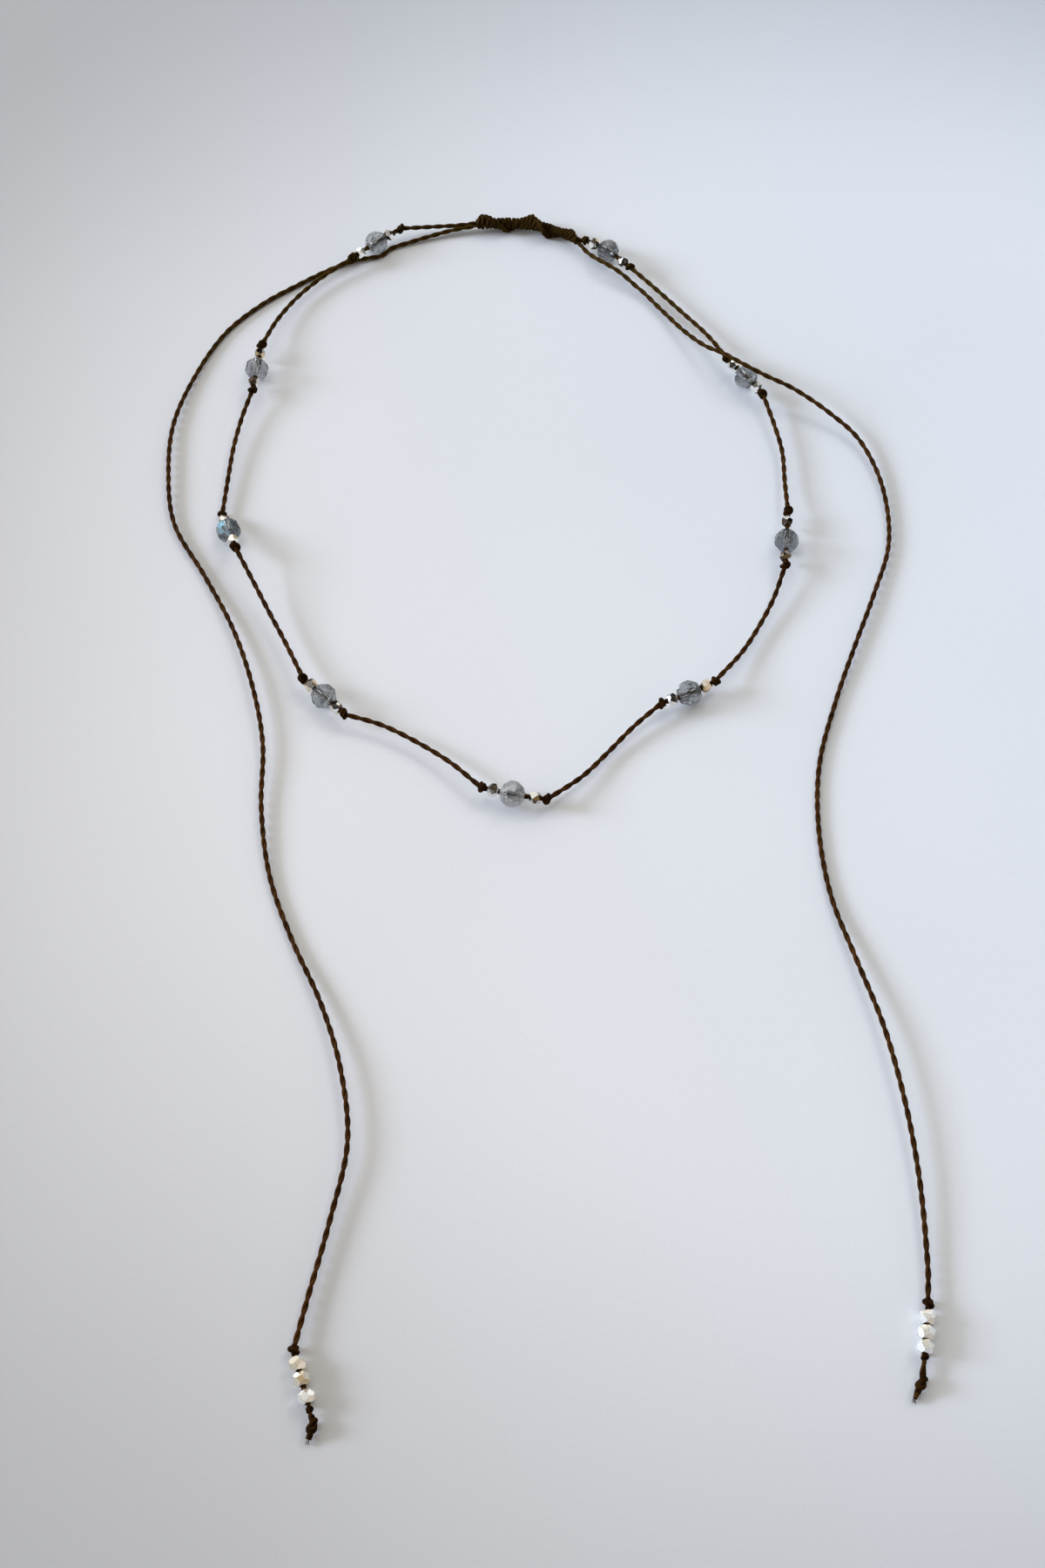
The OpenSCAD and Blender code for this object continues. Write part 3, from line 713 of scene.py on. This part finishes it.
TAILS = [
    tail(
        "left_tail_twist", "left_tail_cord", "left_tail_nugget_%d", -1,
        LEFT_ROUTE, LEFT_END, LEFT_SMALL, LEFT_TIP, 3,
    ),
    tail(
        "right_tail_twist", "right_tail_cord", "right_tail_nugget_%d", 1,
        RIGHT_ROUTE, RIGHT_END, RIGHT_SMALL, RIGHT_TIP, 5,
    ),
]


# ---- The sliding knot: one strand in half hitches round the other two ----
HITCHES = 31
WINDING_D, WINDING_STEPS = 0.84, 6
HITCH_UNEVEN, HITCH_SLIP = 0.12, 0.12  # in millimetres out, and in hitches along
CORE_FLAT, CORE_WIDER = 0.1, 0.1  # the core is lower than it is wide, and wider at the mouths
SLIDER_ENDS = 0.005, 0.995
OFF_FLOOR = 0.02
# How far the ridge and the core stand out at places along the knot: lumps, and ends drawn in
HITCH_RISE = [
    (0, 0.1), (0.03, 0.5), (0.07, 0.84), (0.12, 0.74), (0.16, 0.5), (0.24, 0.92), (0.33, 0.5),
    (0.42, 1.15), (0.52, 0.55), (0.64, 1.05), (0.74, 0.55), (0.83, 0.85), (0.93, 0.36), (1, 0.1),
]
HITCH_CORE = [(0, 0.38), (0.05, 0.66), (0.5, 0.7), (0.85, 0.58), (1, 0.36)]
# Angle from the ridge in degrees, place along in hitches, and how far out (0 on the core, 1 over a turn)
HITCH = [
    (-16, -0.30, 1.0), (16, 0.28, 1.0), (58, 0.22, 0.35), (110, 0.06, 0), (170, 0, 0),
    (230, 0, 0), (290, 0, 0), (340, 0.02, 0), (372, 0.16, 0.05),
]


def winding_strand():
    points = []
    rng = np.random.default_rng(8)
    uneven = rng.uniform(-HITCH_UNEVEN, HITCH_UNEVEN, HITCHES)
    slipped = rng.uniform(-HITCH_SLIP, HITCH_SLIP, HITCHES)
    for k in range(HITCHES):
        middle = (k + 0.5 + slipped[k]) / HITCHES
        rise = np.interp(middle, *zip(*HITCH_RISE)) + uneven[k]
        thick = np.interp(middle, *zip(*HITCH_CORE))
        ridge = RIDGE_START + 360 * SLIDER_TURNS * middle
        for angle, along, out in HITCH:
            u = min(SLIDER_ENDS[1], max(SLIDER_ENDS[0], middle + along / HITCHES))
            a = math.radians(ridge + angle - 180 * u)
            core = math.hypot(thick * math.cos(a), (thick - CORE_FLAT) * math.sin(a)) + CORE_WIDER * mouth(u)
            p = slider_round(u, core + rise * out, ridge + angle)
            p[2] = max(p[2], WINDING_D / 2 + OFF_FLOOR)
            points.append(p)
    strand = Strand()
    strand.bare(smooth(points, WINDING_STEPS), WINDING_D, PLIES_PRESSED)
    return strand


winding_mesh = twisted_cord("sliding_knot_winding", winding_strand())
winding = shown("sliding_knot_winding", winding_mesh, WOUND)
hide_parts("slider_knot")


# ---- Beads: the part's own solids with eased edges ----
SAME_POINT = 1e-6
FLAT, SHARP = 1, 14  # degrees: edges under the first are no edges, and those over the second are eased
STONE_EDGE, NUGGET_EDGE, TAIL_NUGGET_EDGE = 0.045 * MM, 0.06 * MM, 0.08 * MM


def eased(node, name, edge, material):
    """A cut bead's solid with its facet edges and bore mouths rounded off"""
    bm = bmesh.new()
    bm.from_mesh(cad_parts[node].data)
    bmesh.ops.remove_doubles(bm, verts=bm.verts, dist=SAME_POINT)
    bmesh.ops.dissolve_limit(bm, angle_limit=math.radians(FLAT), verts=bm.verts, edges=bm.edges)
    sharp = [e for e in bm.edges if e.is_manifold and e.calc_face_angle() > math.radians(SHARP)]
    bmesh.ops.bevel(
        bm, geom=sharp, offset=edge, segments=2, profile=0.6, affect="EDGES", clamp_overlap=True
    )
    bmesh.ops.triangulate(bm, faces=[f for f in bm.faces if len(f.verts) > 4])
    bmesh.ops.recalc_face_normals(bm, faces=bm.faces)
    mesh = bpy.data.meshes.new(name)
    bm.to_mesh(mesh)
    bm.free()
    piece = shown(name, mesh, material)
    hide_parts(node)
    return piece


# The stones and nuggets that differ from the rest
STONES = {3: GLINT_PAINTED_STONE, 5: PALE_STONE, 7: SMOKY_STONE, 9: DUSKY_STONE}
NUGGETS = {
    "4a": GOLDEN_SILVER, "5a": WHITE_SILVER, "5b": WHITE_SILVER, "6a": WHITE_SILVER, "6b": GOLDEN_SILVER,
}
GILT = ("left_tail_nugget_1", "left_tail_nugget_2")

clear_pieces = []
for i in range(1, len(GROUPS) + 1):
    clear_pieces.append(eased(f"stone_{i}", f"stone_{i}_cut", STONE_EDGE, STONES.get(i, STONE)))
    for k in (f"{i}a", f"{i}b"):
        eased(f"nugget_{k}", f"nugget_{k}_cut", NUGGET_EDGE, NUGGETS.get(k, SILVER))

for piece, path, length, nuggets in TAILS:
    with_pieces = [
        eased(n, n + "_cut", TAIL_NUGGET_EDGE, GILT_SILVER if n in GILT else BRIGHT_SILVER)
        for n in (nuggets % k for k in (1, 2, 3))
    ]


# ---- The floor ----
def floor_piece():
    """Pale paper with painted light: darker away from the necklace, a painted falloff of the light, and a
    little bluer to its right, a painted bluish light
    """
    bm = bmesh.new()
    bmesh.ops.create_grid(bm, x_segments=8, y_segments=8, size=6)
    mesh = bpy.data.meshes.new("floor")
    bm.to_mesh(mesh)
    bm.free()
    floor = bpy.data.objects.new("floor", mesh)
    scene.collection.objects.link(floor)
    material, tree, shader, place = new_material("pale_paper")
    grain = noise(tree, place, 1500, 3, 0.7)
    tone = weighted(tree, noise(tree, place, 9, 2), 0.6, grain, 0.4)
    colour = ramp(tree, tone, [(0.35, (0.80, 0.795, 0.79, 1)), (0.65, (0.84, 0.835, 0.83, 1))])
    # Painted light falloff: the paper is darkened away from the necklace
    off = vectors(tree, "DISTANCE", place, (0.055, -0.026, 0))
    painted_falloff = mapped(tree, off, 0.088, 0.212, 0.963, 0.587, "SMOOTHSTEP")
    colour = mixed(tree, 1.0, colour, painted_falloff, "MULTIPLY")
    # Painted bluish light: the paper is made a little bluer to the necklace's right
    painted_blue_share = mapped(tree, vectors(tree, "DOT_PRODUCT", place, (0.87, 0.32, 0)), -0.08, 0.135)
    painted_blue_tint = mixed(tree, 1.0, colour, (0.965, 1.05, 1.16, 1), "MULTIPLY")
    socket_in(tree, shader, "Base Color", mixed(tree, painted_blue_share, colour, painted_blue_tint))
    shader.inputs["Roughness"].default_value = 0.8
    shader.inputs["Specular IOR Level"].default_value = 0.15
    bumped(tree, shader, grain, 0.15, 0.08 * MM)
    mesh.materials.append(material)


floor_piece()


# ---- Light ----
AIM = np.array([0, -0.03, 0])


def area_light(name, azimuth, elevation, distance, width, height, power, colour):
    """A soft light that looks at the necklace; azimuth 0 is in front of it and 90 to its right"""
    a, e = math.radians(azimuth), math.radians(elevation)
    data = bpy.data.lights.new(name, "AREA")
    data.shape, data.size, data.size_y = "RECTANGLE", width, height
    data.energy, data.color = power, colour
    light = bpy.data.objects.new(name, data)
    scene.collection.objects.link(light)
    back = np.array([math.sin(a) * math.cos(e), -math.cos(a) * math.cos(e), math.sin(e)])
    light.location = AIM + distance * back
    light.rotation_euler = Vector(back).to_track_quat("Z", "Y").to_euler()
    return light


def shines_through(light, pieces):
    """Lets this light pass the pieces and light what lies behind them, as clear stone does"""
    clear = bpy.data.collections.new(light.name + "_passes")
    for piece in pieces:
        clear.objects.link(piece)
    light.light_linking.blocker_collection = light.light_linking.receiver_collection = clear
    for item in clear.collection_objects:
        item.light_linking.link_state = "EXCLUDE"


# Azimuth, elevation, distance, width and height of two windows, far off so that the floor is lit evenly
LEFT_WINDOW = -97, 17.5, 12.8, 4.0, 3.04
BACK_WINDOW = 138, 38, 12.8, 3.84, 3.84
COOL, WHITE = (0.70, 0.79, 1.0), (1.0, 0.99, 0.97)
# The stones stop the first part of each window's light and let the second part through
area_light("window_left", *LEFT_WINDOW, 922, COOL)
shines_through(area_light("window_left_clear", *LEFT_WINDOW, 870, COOL), clear_pieces)
area_light("window_back", *BACK_WINDOW, 128, WHITE)
shines_through(area_light("window_back_clear", *BACK_WINDOW, 166, WHITE), clear_pieces)

# ---- The room round it ----
world = bpy.data.worlds.new("room")
world.use_nodes = True
scene.world = world
tree = world.node_tree
direction = add(tree, "TexCoord").outputs["Generated"]
height = split(tree, direction)[2]
sky = ramp(tree, height, [(0.0, (0.92, 0.91, 0.88, 1)), (1.0, (1.0, 0.98, 0.93, 1))])
# Windows, walls and dark things in a plain room, out of focus
things = ramp(tree, noise(tree, direction, 2.1, 1, 0.4), [
    (0.40, (0.03, 0.026, 0.022, 1)), (0.47, (0.20, 0.185, 0.17, 1)),
    (0.50, (1.1, 1.1, 1.1, 1)), (0.60, (1.9, 1.92, 1.95, 1)),
])
sky = mixed(tree, 1.0, sky, things, "MULTIPLY")
# The dark side of the room in front of the necklace, and a warm brown thing beside it: the way it
# lies, how near to that way it begins, and its colour
DARK_SIDE = (0.15, -0.62, 0.77), 0.70, (0.02, 0.018, 0.016, 1)
BROWN_THING = (0.62, -0.55, 0.55), 0.86, (0.36, 0.22, 0.09, 1)
BLUR = 0.1
for towards, wide, tint in (DARK_SIDE, BROWN_THING):
    near = vectors(tree, "DOT_PRODUCT", direction, towards)
    sky = mixed(tree, mapped(tree, near, wide, wide + BLUR), sky, tint)
# A plain pale wall near the floor, darkest where it meets it
wall = ramp(tree, height, [(0.0, (0.36, 0.36, 0.365, 1)), (0.15, (0.84, 0.84, 0.85, 1))])
sky = mixed(tree, mapped(tree, height, 0.12, 0.32, kind="SMOOTHSTEP"), wall, sky)
socket_in(tree, tree.nodes["Background"], "Color", sky)
tree.nodes["Background"].inputs["Strength"].default_value = 0.87

scene.view_settings.view_transform = "Standard"
